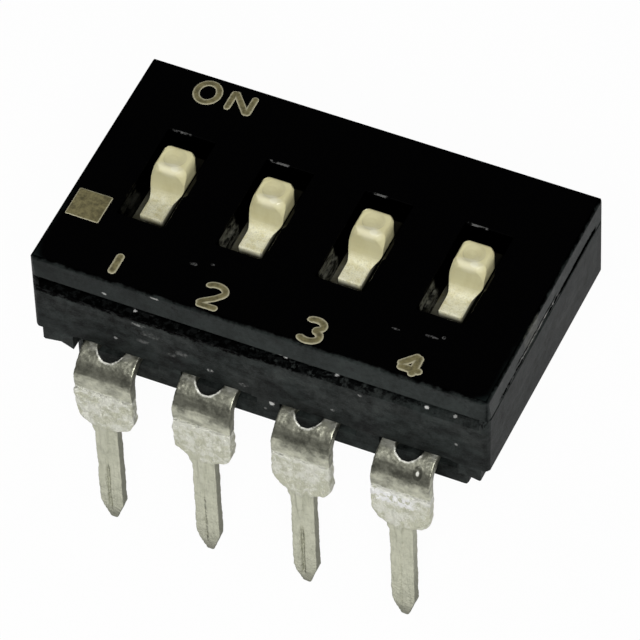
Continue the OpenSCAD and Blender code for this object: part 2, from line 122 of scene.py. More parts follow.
def length(name, description, default):
    """A size in millimetres."""
    return bpy.props.FloatProperty(name=name + " (mm)", description=description, min=0, precision=4,
                                   default=default)


def share(name, description, default):
    return bpy.props.FloatProperty(name=name, description=description, min=0, max=1, subtype="FACTOR",
                                   default=default)


def passes(name, description, default):
    return bpy.props.IntProperty(name=name, description=description, min=0, max=40, default=default)


def power(name, description, default):
    return bpy.props.FloatProperty(name=name, description=description, min=0, unit="POWER",
                                   default=default)


def angle(name, description, degrees):
    return bpy.props.FloatProperty(name=name, description=description, subtype="ANGLE",
                                   default=math.radians(degrees))


class HousingFinish(bpy.types.PropertyGroup):
    cover_colour: colour("Cover", "Black of the cover's polished top", (0.0003, 0.0003, 0.0004))
    rubbed_colour: colour("Rubbed cover", "Grey of the top's dull corners", (0.0100, 0.0150, 0.0145))
    skirt_colour: colour("Cover sides", "Grey of the cover's satin sides", (0.0215, 0.0265, 0.0250))
    base_colour: colour("Base", "Greenish grey of the base", (0.0240, 0.0290, 0.0275))
    flow_colour: colour("Flow marks", "Browner grey of its flow marks", (0.0305, 0.0345, 0.0328))
    # Colour of the painted shade in the channel under the cover
    shade_colour: colour("Channel", "Black of the channel under the cover", (0.002, 0.0025, 0.0025))
    # Colour of dust, also used for the painted glint along the slots' back edges
    dust_colour: colour("Dust", "Colour of dust", (0.20, 0.20, 0.195))
    # Colour of the painted reflection of the lit feet on the slot walls
    slot_dust_colour: colour("Slot dust", "Colour of dust on the slot walls", (0.13, 0.13, 0.105))
    scar_colour: colour("Scar", "Colour of the scar under the cover's end", (0.40, 0.40, 0.38))
    crumb_colour: colour("Crumbs", "Colour of bright moulding crumbs", (0.62, 0.62, 0.60))
    polish: share("Polish", "Roughness of the sheen on the top", 0.06)
    satin: share("Satin", "Roughness of the housing's sides", 0.50)
    gloss: share("Gloss", "Mirror strength of the housing's sides", 0.06)
    specks: share("Specks", "Share of small cells with a dust speck", 0.02)


class InkFinish(bpy.types.PropertyGroup):
    ink_colour: colour("Ink", "Colour inside a printed stroke", (0.165, 0.145, 0.068))
    rim_colour: colour("Ink edge", "Paler colour along a stroke's edge", (0.46, 0.43, 0.29))
    stroke_width: length("Stroke width", "Width of the strokes of words and numerals", 0.185)
    ink_height: length("Ink height", "Height of the ink over the cover", 0.012)
    square_side: length("Mark side", "Side of the square beside the first switch", 0.86)


class KnobFinish(bpy.types.PropertyGroup):
    plastic_colour: colour("Plastic", "Colour of the ivory sliders", (0.72, 0.675, 0.40))
    shade_colour: colour("Plastic shade", "Warmer colour in its flow marks", (0.62, 0.56, 0.30))
    foot_colour: colour("Foot", "Pale colour of the torn feet", (0.90, 0.88, 0.68))
    # Colour of the painted highlight on the ridge before the dish
    ridge_colour: colour("Ridge", "Bright colour of the ridge before the dish", (1.0, 0.97, 0.76))
    voxel: length("Voxel", "Size of the mesh cells on a knob", 0.0135)
    softness: passes("Softness", "Smoothing passes over the knob's edges", 2)


class TerminalFinish(bpy.types.PropertyGroup):
    tin_colour: colour("Tin", "Colour of the dull tin plating", (0.70, 0.70, 0.56))
    worn_colour: colour("Worn tin", "Darker colour where the plating is rubbed", (0.34, 0.35, 0.27))
    white_colour: colour("White tin", "Colour of torn and rough tin", (0.88, 0.88, 0.80))
    # Colour of the painted highlight on the last front terminal
    bright_colour: colour("Bright tin", "Colour of the bright patch", (1.0, 1.0, 0.98))
    brass_colour: colour("Ball", "Colour of the contact balls", (0.86, 0.66, 0.30))
    steel_colour: colour("Spring", "Colour of the spring wire", (0.58, 0.58, 0.60))
    voxel: length("Voxel", "Size of the mesh cells on a front terminal", 0.021)
    back_voxel: length("Back voxel", "Size of the mesh cells on a back terminal", 0.0305)
    edge: passes("Edge passes", "Smoothing passes over the stamped edges", 2)
    dents: length("Dents", "Depth of the dents left by stamping", 0.022)


class StageSetting(bpy.types.PropertyGroup):
    floor_colour: colour("Floor", "Colour of the table", (0.86, 0.86, 0.86))
    room: share("Room light", "Brightness of the room above the table", 0.01)
    key_power: power("Key", "Power of the main soft lamp", 0.97)
    card_power: power("Card", "Power of the large dim front card", 0.13)
    high_power: power("High card", "Power of the card overhead", 0.07)
    fill_power: power("Fill", "Power of the low side and back lamps", 0.06)
    rim_power: power("Rim", "Power of the small lamp behind the left", 0.09)
    azimuth: angle("Azimuth", "Camera's turn round the switch", 26.03)
    elevation: angle("Elevation", "Camera's height angle", 49.4)
    roll: angle("Roll", "Camera's tilt about its own axis", -2.42)
    distance: length("Distance", "From the camera to its target", 148.95)
    aim: bpy.props.FloatVectorProperty(name="Aim (mm)", description="From the top's middle to that point",
                                       size=3, default=(0.715, -1.489, -1.418))
    lens: bpy.props.FloatProperty(name="Lens", description="Focal length on a 36 mm sensor",
                                  unit="CAMERA", default=360.2)


# ---- Shader and geometry graphs ----


class Val:
    """One socket. Arithmetic on it adds Math nodes to its graph."""

    def __init__(self, graph, socket):
        self.graph = graph
        self.socket = socket

    def math(self, operation, *values):
        return self.graph.node("ShaderNodeMath", {"operation": operation}, dict(enumerate(values)))[0]

    def __add__(self, other):
        return self.math("ADD", self, other)

    __radd__ = __add__

    def __sub__(self, other):
        return self.math("SUBTRACT", self, other)

    def __rsub__(self, other):
        return self.math("SUBTRACT", other, self)

    def __mul__(self, other):
        return self.math("MULTIPLY", self, other)

    __rmul__ = __mul__

    def __truediv__(self, other):
        return self.math("DIVIDE", self, other)

    def __pow__(self, other):
        return self.math("POWER", self, other)

    def abs(self):
        return self.math("ABSOLUTE", self)

    def lower(self, other):
        return self.math("MINIMUM", self, other)

    def higher(self, other):
        return self.math("MAXIMUM", self, other)

    def wrapped(self, half):
        """The value brought between -half and half by whole steps of twice that."""
        return self.math("WRAP", self, half, -half)

    def beside(self, middle, half, soft=0.02):
        """1 within half of a middle value, fading out over soft."""
        return (self - middle).abs().over(half + soft, half)

    def over(self, start, end):
        """0 at start and 1 at end, with soft ends; start may be above end."""
        return self.graph.node("ShaderNodeMapRange", {"interpolation_type": "SMOOTHSTEP"},
                               {"Value": self, "From Min": start, "From Max": end})[0]


class Made:
    """A node that was added; indexing it gives an output as a Val."""

    def __init__(self, graph, node):
        self.graph = graph
        self.node = node

    def __getitem__(self, key):
        return Val(self.graph, self.node.outputs[key])


class Graph:
    """Adds nodes to one tree."""

    def __init__(self, tree):
        self.tree = tree

    def node(self, kind, settings=None, sockets=None):
        made = self.tree.nodes.new(kind)
        for name, value in (settings or {}).items():
            setattr(made, name, value)
        for key, value in (sockets or {}).items():
            self.feed(made.inputs[key], value)
        return Made(self, made)

    def feed(self, socket, value):
        if isinstance(value, Val):
            self.tree.links.new(value.socket, socket)
        elif socket.type == "RGBA" and len(value) == 3:
            socket.default_value = (*value, 1)
        else:
            socket.default_value = value


# ---- Finishes ----

# The dish in the top of a knob: across the switch, along it, radius
DISH = (0.065, 0.30, 0.28)
# The end gap's painted shade line under the cover, its second line and the scar between: depths under the
# top
GAP_DEPTH, SECOND_GAP_DEPTH, SCAR_DEPTH = 0.55, 0.42, 0.48
# Dust on the top: x, y, half length, half width
DUST = ((-2.15, -2.16, 0.10, 0.05), (-1.73, -2.01, 0.05, 0.03), (2.96, -2.15, 0.10, 0.03),
        (3.82, -2.05, 0.17, 0.035), (4.09, -1.97, 0.05, 0.05))
# Bright crumbs on the front: x, depth under the top, half length, half height, strength
CRUMBS = ((0.62, 0.67, 0.055, 0.055, 1), (1.93, 0.73, 0.05, 0.045, 0.8), (4.21, 0.82, 0.05, 0.05, 1),
          (4.93, 0.81, 0.05, 0.045, 0.5), (-3.19, 0.78, 0.045, 0.04, 0.8),
          (-3.87, 0.46, 0.05, 0.04, 0.5), (-2.59, 0.06, 0.09, 0.03, 0.5),
          (-3.06, 1.22, 0.15, 0.05, 0.32), (-3.67, 1.94, 0.06, 0.035, 0.4),
          (-1.23, 2.01, 0.08, 0.05, 0.35), (0.17, 2.58, 0.06, 0.07, 1), (2.60, 1.14, 0.06, 0.04, 0.3),
          (1.88, 1.99, 0.05, 0.04, 0.25), (-0.39, 2.14, 0.09, 0.06, 0.25),
          (-2.23, 1.90, 0.10, 0.06, 0.14), (-2.75, 1.45, 0.24, 0.07, 0.12),
          (-1.95, 1.75, 0.16, 0.07, 0.12), (-2.95, 1.75, 0.14, 0.06, 0.10))
# A small dimple on the last front terminal, painted as a highlight in its middle with shade round it: x, z
DIMPLE = (4.19, 5.40)
# Past this stretch of x, the front terminals get the painted highlight, a whiter lip and no painted groove
# shade
BRIGHT_FROM = (2.6, 2.9)


class Finish(Graph):
    """A material on one Principled BSDF, with Object coordinates in millimetres."""

    def __init__(self, name, **constants):
        self.material = bpy.data.materials.new(name)
        self.material.use_nodes = True
        super().__init__(self.material.node_tree)
        self.bsdf = self.tree.nodes["Principled BSDF"]
        self.set(**constants)
        self.place = self.scaled(self.node("ShaderNodeTexCoord")["Object"], 1 / MM)
        parts = self.node("ShaderNodeSeparateXYZ", None, {0: self.place})
        self.x, self.y, self.z = parts[0], parts[1], parts[2]

    def set(self, **links):
        for key, value in links.items():
            self.feed(self.bsdf.inputs[key.replace("_", " ")], value)
        return self.material

    def blacken(self, mask):
        """Mixes in dead black as painted shade, for gaps and pits that mirror nothing."""
        black = self.node("ShaderNodeBsdfDiffuse", None, {"Color": (0, 0, 0)})["BSDF"]
        lit = Val(self, self.bsdf.outputs["BSDF"])
        mixed = self.node("ShaderNodeMixShader", None, {0: mask, 1: lit, 2: black})[0]
        self.feed(self.tree.nodes["Material Output"].inputs["Surface"], mixed)

    def across_switch(self):
        """Position across the nearest switch, 0 in its middle."""
        return (self.x - FIRST_X).wrapped(PITCH / 2)

    def stretched(self, x, y, z):
        """The place with each coordinate scaled, for a pattern that is longer one way."""
        return self.node("ShaderNodeVectorMath", {"operation": "MULTIPLY"},
                         {0: self.place, 1: (x, y, z)})[0]

    def noise(self, scale, detail=3, roughness=0.5, at=None):
        return self.node("ShaderNodeTexNoise", None,
                         {"Vector": at or self.place, "Scale": scale, "Detail": detail,
                          "Roughness": roughness})["Fac"]

    def cells(self, scale):
        """Distance to the middle of the nearest cell, and two random numbers of that cell."""
        made = self.node("ShaderNodeTexVoronoi", None, {"Vector": self.place, "Scale": scale})
        lot = self.node("ShaderNodeSeparateColor", None, {0: made["Color"]})
        return made["Distance"], lot[0], lot[1]

    def mix(self, factor, first, second):
        return self.node("ShaderNodeMix", {"data_type": "RGBA"}, {0: factor, 6: first, 7: second})[2]

    def scaled(self, tone, factor):
        """A colour or a place times a number or a Val."""
        return self.node("ShaderNodeVectorMath", {"operation": "SCALE"}, {0: tone, "Scale": factor})[0]

    def spot(self, a, a_at, b, b_at, a_half, b_half):
        """1 inside a soft oval."""
        return (((a - a_at) / a_half) ** 2 + ((b - b_at) / b_half) ** 2).over(1.3, 0.5)

    def gap(self):
        """Painted shade of the gap under the cover on the ends, wide behind and broken in front."""
        wander = (self.noise(3.5, 4, 0.65) - 0.5) * 0.13
        behind = self.y.over(0.75, 1.0)
        chips = self.noise(9, 3, 0.7)
        half = 0.042 + behind * 0.028 + chips.over(0.50, 0.62) * 0.030
        line = ((self.z - (TOP_Z - GAP_DEPTH) + wander).abs() / half).over(1.3, 0.7)
        second = ((self.z - (TOP_Z - SECOND_GAP_DEPTH) + wander).abs() / 0.030).over(1.3, 0.7)
        second = second * self.y.beside(-0.6, 1.0, 0.3)
        broken = chips.over(0.38, 0.45).higher(behind)
        on_end = (self.x.abs() - (HALF_LENGTH - 0.12)).over(0, 0.03)
        between_corners = self.y.over(3.0, 2.85) * self.y.over(-2.9, -2.6)
        return line.higher(second) * broken * on_end * between_corners

    def crumbs(self):
        """The crumbs on the front, with ragged outlines; the faint ones are patchy."""
        ragged = (1 + (self.noise(16, 3, 0.7) - 0.5) * 5).higher(0.5)
        patchy = 0.15 + self.noise(9, 4, 0.75).over(0.42, 0.60)
        leaning = self.z + self.y + HALF_WIDTH
        total = 0
        for x, depth, long, tall, strength in CRUMBS:
            oval = ((self.x - x) / long) ** 2 + ((leaning - (TOP_Z - depth)) / tall) ** 2
            mark = (oval * ragged).over(1.4, 0.4) * strength
            total = (mark if strength > 0.45 else mark * patchy) + total
        return total.lower(1) * (self.y * -1).over(HALF_WIDTH - 0.5, HALF_WIDTH - 0.3)

    def bump(self, height, distance_mm, strength):
        sockets = {"Height": height, "Distance": distance_mm * MM, "Strength": strength}
        return self.node("ShaderNodeBump", None, sockets)["Normal"]


def cover_finish(settings):
    """Black top and slot walls under a clear sheen, satin sides, dull front corners, dust."""
    f = Finish("cover_plastic", IOR=1.5, Specular_IOR_Level=settings.gloss,
               Coat_Roughness=settings.polish)
    across = f.across_switch()
    ax, ay = f.x.abs(), f.y.abs()
    mottle = f.noise(2.2, 4, 0.6)
    grain = f.noise(26, 3, 0.6)

    # Satin sides with an uneven upper edge and small nicks in it; painted light makes them lighter towards
    # the right end
    chips = (f.noise(4, 4, 0.65) - 0.5) * 0.17
    side = ((ax - (HALF_LENGTH - 0.05)).higher(ay - (HALF_WIDTH - 0.05)) + chips).over(-0.05, 0.03)
    blotch = mottle.over(0.30, 0.70) * 0.6 + f.noise(9, 3, 0.7).over(0.3, 0.7) * 0.4
    skirt = f.scaled(settings.skirt_colour, (0.45 + blotch * 0.75) * (0.80 + f.x.over(-5, 4) * 0.35))
    nicks = f.noise(11, 3, 0.7, f.stretched(1, 1, 2.5)).over(0.60, 0.68)
    nicks = nicks * f.z.over(TOP_Z - 0.20, TOP_Z - 0.06)
    skirt = f.mix(nicks * 0.45, skirt, settings.cover_colour)

    # Polished top, rubbed dull at the front corners, with dust specks
    past_x, past_y = (ax - (HALF_LENGTH - 0.75)).higher(0), (ay - (HALF_WIDTH - 0.42)).higher(0)
    corner = (past_x ** 2 + past_y ** 2 * 2.6) ** 0.5
    rubbed = (corner + (mottle - 0.5) * 0.25).over(0.55, 0.85) * (f.y * -1).over(0.5, 1.5)
    top = f.mix(rubbed * 0.8, settings.cover_colour, settings.rubbed_colour)
    far, lot, size = f.cells(2.3)
    speck = far.over(0.10, 0.04) * lot.over(1 - settings.specks, 1 - settings.specks + 0.01) * size
    for x, y, long, wide in DUST:
        speck = speck.higher(f.spot(f.x, x, f.y, y, long, wide) * grain.over(0.38, 0.62))
    tone = f.mix(speck * (1 - side) * 0.55, f.mix(side, top, skirt), settings.dust_colour)
    tone = f.mix(f.crumbs(), tone, settings.crumb_colour)

    # The scar in the right end's gap
    scar = f.noise(6, 4, 0.7, f.stretched(1, 0.6, 1.6)).over(0.48, 0.58) * f.y.beside(-0.5, 0.9, 0.3)
    scar = scar * f.z.beside(TOP_Z - SCAR_DEPTH, 0.04, 0.03)
    scar = scar * (f.x - (HALF_LENGTH - 0.1)).over(0, 0.02)
    tone = f.mix(scar * 0.8, tone, settings.scar_colour)

    # Painted reflection of the lit feet on the left wall of each slot, and a painted glint along its back
    # edge
    reflection_patches = f.noise(4, 4, 0.7, f.stretched(1, 1, 2)).over(0.30, 0.62)
    reflection_patches = reflection_patches * (0.35 + f.x.over(-3.4, -2.2) * 0.65)
    wall = across.beside(SLOT_LEFT, 0.075) * f.y.beside(-0.85, 0.36, 0.12)
    wall = wall * f.z.over(TOP_Z - 0.01, TOP_Z - 0.04)
    edge_shade = across.over(SLOT_LEFT - 0.03, SLOT_LEFT + 0.05) * 0.45
    tone = f.mix(wall * reflection_patches * (1 - edge_shade), tone, settings.slot_dust_colour)
    # A painted glint along the back edge of each slot, in the dust colour
    rim_glint = across.beside(-0.35, 0.22, 0.06) * f.y.beside(SLOT_BACK, 0.03)
    rim_glint = rim_glint * f.noise(8, 3).over(0.40, 0.6) * f.z.over(TOP_Z - 0.035, TOP_Z - 0.02)
    tone = f.mix(rim_glint * (1 - side) * 0.6, tone, settings.dust_colour)

    # Painted shade: the slot walls and the end gaps are dead black and mirror nothing, and so are the nicks
    in_slot = f.z.over(TOP_Z - 0.001, TOP_Z - 0.003) * (1 - side)
    slot_shade = in_slot * (1 - wall * reflection_patches) * (1 - rim_glint) * 0.9
    f.blacken(slot_shade.higher(f.gap()).higher(nicks * side * 0.8))
    dull = side.higher(rubbed)
    rough = (settings.satin - settings.polish + (grain - 0.5) * 0.2) * dull + settings.polish
    return f.set(Base_Color=tone, Roughness=rough, Coat_Weight=(1 - dull * 0.9) * (1 - in_slot),
                 Normal=f.bump(grain * side, 0.012, 0.6))


def base_finish(settings):
    """Glass filled plastic: mottled flow marks, a black channel, scuffs and bright crumbs."""
    f = Finish("base_plastic", IOR=1.5, Specular_IOR_Level=settings.gloss)
    flow = f.noise(0.75, 4, 0.6, f.stretched(0.8, 0.8, 1.3))
    cloud = f.noise(3.6, 5, 0.68)
    grain = f.noise(24, 4, 0.65)
    streak = f.noise(3, 4, 0.7, f.stretched(0.6, 0.6, 1.5))
    depth = PARTING_Z - f.z

    # Flow marks, darker low on the sides, with painted light making the lower base below them lighter
    hue = f.noise(0.55, 3, 0.5, f.stretched(1, 1, 1.4)).over(0.42, 0.58)
    light = 0.10 + cloud.over(0.34, 0.66) * 0.55 + flow.over(0.36, 0.64) * 0.35
    light = light + streak.over(0.35, 0.7) * 0.45
    light = (light + (grain - 0.5) * 1.3).higher(0.08)
    light = light * (1 - depth.over(0.9, 1.9) * 0.38) * (1 + depth.over(1.72, 1.86) * 0.6)
    tone = f.scaled(f.mix(hue, settings.base_colour, settings.flow_colour), light)

    # Painted shade in the channel under the cover, with a ragged lower edge that fades along the row
    low_edge = depth + f.x.higher(-1) * 0.035 + (f.noise(6, 4, 0.75) - 0.5) * 0.30
    channel = low_edge.over(0.48, 0.40) * f.y.abs().over(HALF_WIDTH - 0.5, HALF_WIDTH - 0.3)
    channel = channel * (f.noise(5, 4, 0.7, f.stretched(1, 1, 0.4)) + f.x * -0.03).over(0.33, 0.44)
    tone = f.mix(channel * 0.95, tone, settings.shade_colour)

    # Scuffs and crumbs
    scuff = f.noise(6, 5, 0.7, f.stretched(1.2, 1.2, 2.6)).over(0.60, 0.74) * flow.over(0.46, 0.60)
    tone = f.mix(scuff * 0.16, tone, settings.dust_colour)
    far, lot, size = f.cells(2.4)
    small = far.over(0.14, 0.06) * lot.over(0.984, 0.990) * size
    crumbs = (small * 0.5).higher(f.crumbs())
    tone = f.mix(crumbs, tone, settings.crumb_colour)

    # Painted shade: dead black in the channel's darkest parts and in the end gaps
    jagged = f.noise(6, 4, 0.75, f.stretched(1, 1, 1.6)).over(0.43, 0.52)
    in_shade = channel * jagged * (0.40 + f.x.over(4.5, 0) * 0.45) * (1 - crumbs)
    f.blacken(f.gap().higher(in_shade))
    return f.set(Base_Color=tone, Roughness=settings.satin + (grain - 0.5) * 0.3 + scuff * 0.1,
                 Normal=f.bump(grain * 0.6 + cloud * 0.5, 0.02, 0.9))


def ink_finish(settings):
    """Khaki ink that is paler along its thin edge."""
    f = Finish("marking_ink", Specular_IOR_Level=0.3)
    rise = (f.z - TOP_Z) / settings.ink_height
    wobble = f.noise(9, 3, 0.6)
    blot = f.noise(7, 4, 0.75)
    edge = (rise + (wobble - 0.5) * 0.45).over(0.93, 0.55)
    tone = f.scaled(settings.ink_colour, 0.55 + blot.over(0.30, 0.70) * 0.9)
    return f.set(Base_Color=f.mix(edge, tone, settings.rim_colour), Roughness=0.5 + wobble * 0.3)


def knob_finish(settings):
    """Ivory plastic with faint flow marks, a pressed dish and a torn, grainy foot."""
    f = Finish("ivory_plastic", IOR=1.5, Specular_IOR_Level=0.5)
    across = f.across_switch()
    flow = f.noise(2.4, 4, 0.6, f.stretched(1, 0.7, 0.5))
    fine = f.noise(30, 4, 0.65)

    # Flow marks, and the torn foot low in the slot
    on_foot = f.z.over(TOP_Z - 0.05, TOP_Z - 0.40)
    torn = f.noise(14, 4, 0.7).over(0.42, 0.6) * on_foot
    bare = f.noise(5, 4, 0.7).over(0.36, 0.55) * on_foot
    tone = f.mix(flow.over(0.4, 0.75) * 0.6, settings.plastic_colour, settings.shade_colour)
    tone = f.mix(bare * 0.6 + torn * 0.3, tone, settings.foot_colour)
    first_foot = f.x.over(-2.4, -2.9) * 0.22
    tone = f.scaled(tone, 1 - on_foot * (fine.over(0.50, 0.66) * 0.25 + first_foot))

    # The dish in the top, painted lighter round it and with painted shade inside it, a painted shadow arc
    # along its lower side, and a painted highlight and glint on the ridge before it
    dish_x, dish_y, dish_r = DISH
    from_dish = ((across - dish_x) ** 2 + (f.y - dish_y) ** 2) ** 0.5 + (flow - 0.5) * 0.03
    crown = f.z.over(TOP_Z + 0.30, TOP_Z + 0.38)
    lower_side = f.y.over(dish_y + 0.05, dish_y - 0.20)
    pressed = from_dish.over(dish_r + 0.005, dish_r - 0.015)
    arc = (from_dish - (dish_r - 0.012)).abs().over(0.022, 0.006) * lower_side
    tone = f.scaled(tone, 1.05 + crown * ((1 - pressed) * 0.10 - pressed * 0.05 - arc * 0.16))
    ridge = f.spot(across, 0.09, f.y, -0.02, 0.34, 0.15) * f.z.over(TOP_Z + 0.22, TOP_Z + 0.34)
    glint = f.spot(across, 0.20, f.y, -0.02, 0.10, 0.08) * crown
    tone = f.mix(ridge * 0.40 + glint * 0.35, tone, settings.ridge_colour)

    # Painted shade: darker front, foot ends and deep sides, and dead black low in the slot
    front = f.y.over(-0.06, -0.20) * f.z.over(TOP_Z - 0.34, TOP_Z - 0.10)
    tone = f.scaled(tone, 1 - front * 0.18)
    foot_end = f.y.over(FOOT_Y + 0.06, FOOT_Y + 0.02).higher(across.over(0.24, 0.28))
    tone = f.scaled(tone, 1 - foot_end * f.z.over(TOP_Z - 0.33, TOP_Z - 0.38) * 0.62)
    deep_side = across.over(0.33, 0.38) * f.z.over(TOP_Z - 0.25, TOP_Z - 0.45)
    sunk = f.z.over(TOP_Z - 0.38, TOP_Z - 0.56).higher(deep_side)
    front_left = across.over(-0.1, -0.2) * f.y.over(0.2, -0.4)
    f.blacken(sunk * (0.985 - front_left * 0.09))
    return f.set(Base_Color=tone, Roughness=0.17 + flow * 0.08 + pressed * crown * 0.2 + on_foot * 0.3,
                 Normal=f.bump(fine * (0.25 + on_foot * 0.75), 0.010, 0.7))


def tin_finish(settings):
    """Dull tin: painted shade on the bend, white torn edges, a rough flat, drawn lines on the tail and a
    painted highlight.
    """
    f = Finish("tinned_terminal")
    across, ay = f.across_switch(), f.y.abs()
    cloud = f.noise(2.6, 5, 0.65)
    speckle = f.noise(13, 4, 0.7)
    grit = f.noise(6, 4, 0.7)
    blots = f.noise(3.4, 4, 0.7)
    drawn = f.noise(9, 4, 0.6, f.stretched(2.2, 2.2, 0.22))
    ragged = (grit - 0.5) * 0.22 + (speckle - 0.5) * 0.08
    front_row = f.y.over(0.5, -0.5)
    bright_end = f.x.over(*BRIGHT_FROM)
    on_tail = f.z.over(SEAT_Z + 0.05, SEAT_Z - 0.15)
    on_flat = (f.z + ragged).over(STEP_Z + 0.04, STEP_Z - 0.02) * (1 - on_tail)

    # Wear, and painted shade on the bend, darker in its middle
    wear = (cloud.over(0.42, 0.70) * 0.5 + speckle.over(0.5, 0.72) * 0.4) * (1 - on_tail * 0.5)
    wear = wear * (1 - on_flat * 0.5) + drawn.over(0.48, 0.70) * on_tail * 0.3 + on_tail * 0.26
    tone = f.mix(wear.lower(1) * 0.8, settings.tin_colour, settings.worn_colour)
    bend_middle_shade = (f.z + ragged * 0.9 - (STEP_Z + 0.82)).abs().over(0.78, 0.34) * 0.60
    bend = (f.z + ragged).over(STEP_Z - 0.02, STEP_Z + 0.10) * 0.44
    uneven = 0.42 + cloud.over(0.35, 0.65) * 0.4 + grit.over(0.35, 0.65) * 0.4
    tone = f.scaled(tone, 1 - bend_middle_shade.higher(bend) * uneven)

    # White: the torn edge of the hole, the lip under the bend, the ears, patches, speckles and a painted
    # highlight
    from_hole = (across ** 2 + (ay - HOLE_Y) ** 2) ** 0.5
    torn = (from_hole + ragged * 0.35).over(0.425, 0.385) * ay.over(HOLE_Y + 0.10, HOLE_Y + 0.22)
    torn = torn * speckle.over(0.30, 0.5)
    lip = (f.z - (STEP_Z - 0.04) + ragged * 0.7).abs().over(0.14, 0.04) * grit.over(0.36, 0.50)
    lip = lip * (0.7 + bright_end * 0.3)
    ear = f.z.over(ROOT_Z - 0.10, ROOT_Z - 0.01) * cloud.over(0.42, 0.56) * 0.4
    patch = (blots.over(0.44, 0.60) * 0.7).higher(grit.over(0.52, 0.62) * 0.6) * on_flat
    # A painted highlight low on the flat of the last front terminal
    bright = (f.z + ragged * 1.6).beside(STEP_Z - 0.24, 0.14, 0.08) * grit.over(0.44, 0.52)
    bright = bright * bright_end * front_row * across.over(0.50, 0.15)
    # The small dimple on the last front terminal: a painted highlight in its middle
    dimple_x, dimple_z = DIMPLE
    dimple = (((f.x - dimple_x) * 1.3) ** 2 + (f.z - dimple_z) ** 2) ** 0.5 + (1 - front_row)
    white = torn.higher(lip).higher(ear).higher(patch).higher(bright).higher(dimple.over(0.065, 0.035))
    white = white.higher(speckle.over(0.66, 0.72) * (1 - on_tail) * 0.45)

    # Painted shade round the dimple and in the tails' grooves
    tone = f.scaled(tone, 1 - dimple.beside(0.11, 0.03, 0.03) * 0.5)
    groove = (across + 0.05 + (cloud - 0.5) * 0.06).abs().over(0.045, 0.015)
    groove = groove * f.z.beside(1.15, 0.75, 0.15) * speckle.over(0.42, 0.56)
    tone = f.scaled(tone, 1 - groove * (1 - bright_end) * front_row * 0.6)
    tone = f.mix(white, tone, settings.white_colour)
    tone = f.mix(bright, tone, settings.bright_colour)

    rough = 0.26 + cloud * 0.22 + on_flat * 0.10 + speckle * 0.08
    relief = speckle * (0.10 + on_flat * 1.1 + on_tail * 0.3)
    relief = relief + grit * (0.05 + on_flat * 3.4 + on_tail * 1.2) + drawn * on_tail * 0.6
    return f.set(Base_Color=tone, Metallic=1 - white * 0.75, Roughness=rough,
                 Normal=f.bump(relief, 0.030, 1.0))


def bright_metal(name, tint, wear):
    """Bright metal for the sealed contact pieces."""
    f = Finish(name, Metallic=1.0)
    marks = f.noise(12, 3, 0.6)
    return f.set(Base_Color=f.mix(marks.over(0.4, 0.8) * wear, tint, tuple(0.7 * c for c in tint)),
                 Roughness=0.18 + marks * 0.12)


def paint(node_name, material):
    """Gives a CAD node its finish."""
    mesh = NODES[node_name].data
    mesh.materials.clear()
    mesh.materials.append(material)


# ---- Mesh helpers ----


def new_object(name, data, material=None):
    piece = bpy.data.objects.new(name, data)
    bpy.context.scene.collection.objects.link(piece)
    if material:
        data.materials.clear()
        data.materials.append(material)
    return piece


def frozen(piece, name, material):
    """The result of a piece's modifiers as a plain object; the first piece is removed."""
    bpy.context.view_layer.update()
    evaluated = piece.evaluated_get(bpy.context.evaluated_depsgraph_get())
    mesh = bpy.data.meshes.new_from_object(evaluated)
    bpy.data.objects.remove(piece)
    return new_object(name, mesh, material)


def welded_copy(node_name):
    """A CAD node's mesh in millimetres with its loose triangles joined."""
    shape = bmesh.new()
    shape.from_mesh(NODES[node_name].data)
    bmesh.ops.scale(shape, vec=(1 / MM,) * 3, verts=shape.verts)
    bmesh.ops.remove_doubles(shape, verts=shape.verts, dist=0.0005)
    return shape


def split_at(shape, z, keep_above):
    """Cuts a closed shape at height z and closes the cut."""
    cut = bmesh.ops.bisect_plane(shape, geom=shape.verts[:] + shape.edges[:] + shape.faces[:],
                                 plane_co=(0, 0, z), plane_no=(0, 0, 1),
                                 clear_inner=keep_above, clear_outer=not keep_above)
    rim = [e for e in cut["geom_cut"] if isinstance(e, bmesh.types.BMEdge)]
    bmesh.ops.holes_fill(shape, edges=rim)
    bmesh.ops.recalc_face_normals(shape, faces=shape.faces)


def mesh_from(shape, name):
    mesh = bpy.data.meshes.new(name)
    shape.to_mesh(mesh)
    shape.free()
    return mesh


def remeshed(mesh, voxel, rounds, name):
    """A softened, evenly meshed copy of a closed mesh in millimetres."""
    piece = new_object(name + "_draft", mesh)
    grid = piece.modifiers.new("grid", "REMESH")
    grid.mode = "VOXEL"
    grid.voxel_size = voxel
    soft = piece.modifiers.new("soft", "SMOOTH")
    soft.factor = 0.5
    soft.iterations = rounds
    return frozen(piece, name, None)


def ramp(value, start, end):
    """0 at start and 1 at end, straight between and level past them; start may be above end."""
    return min(max((value - start) / (end - start), 0), 1)


# The front tails: end of the rib and start of the groove, as shares of the tail from its top, the
# groove's depth and whether it is broken
TAILS = {1: (0.40, 0.40, 0.055, False), 2: (0.32, 0.55, 0.030, True), 3: (0.34, 0.37, 0.060, False),
         4: (0.22, 1.0, 0.0, False)}


def tail_relief(at, number, outer_y, middle_x):
    """How far a point on a tail's outer face moves out of it, in millimetres."""
    if at.y > outer_y + 0.09:
        return 0
    rib_end, groove_start, groove_depth, broken = TAILS[number]
    down = (SEAT_Z - at.z) / SEAT_Z
    across = abs(at.x - (middle_x - 0.05 + 0.02 * noise.noise(Vector((0, number, at.z * 1.3)))))
    rib = ramp(across, 0.15, 0) * ramp(down, rib_end, rib_end - 0.2) * ramp(down, -0.18, -0.08)
    groove = ramp(across, 0.07, 0) * ramp(down, groove_start, groove_start + 0.06)
    groove = groove * ramp(down, 0.93, 0.87)
    if broken:
        groove = groove * ramp(noise.noise(Vector((5, 0, at.z * 4))), -0.15, 0.10)
    return rib * 0.055 - groove * groove_depth


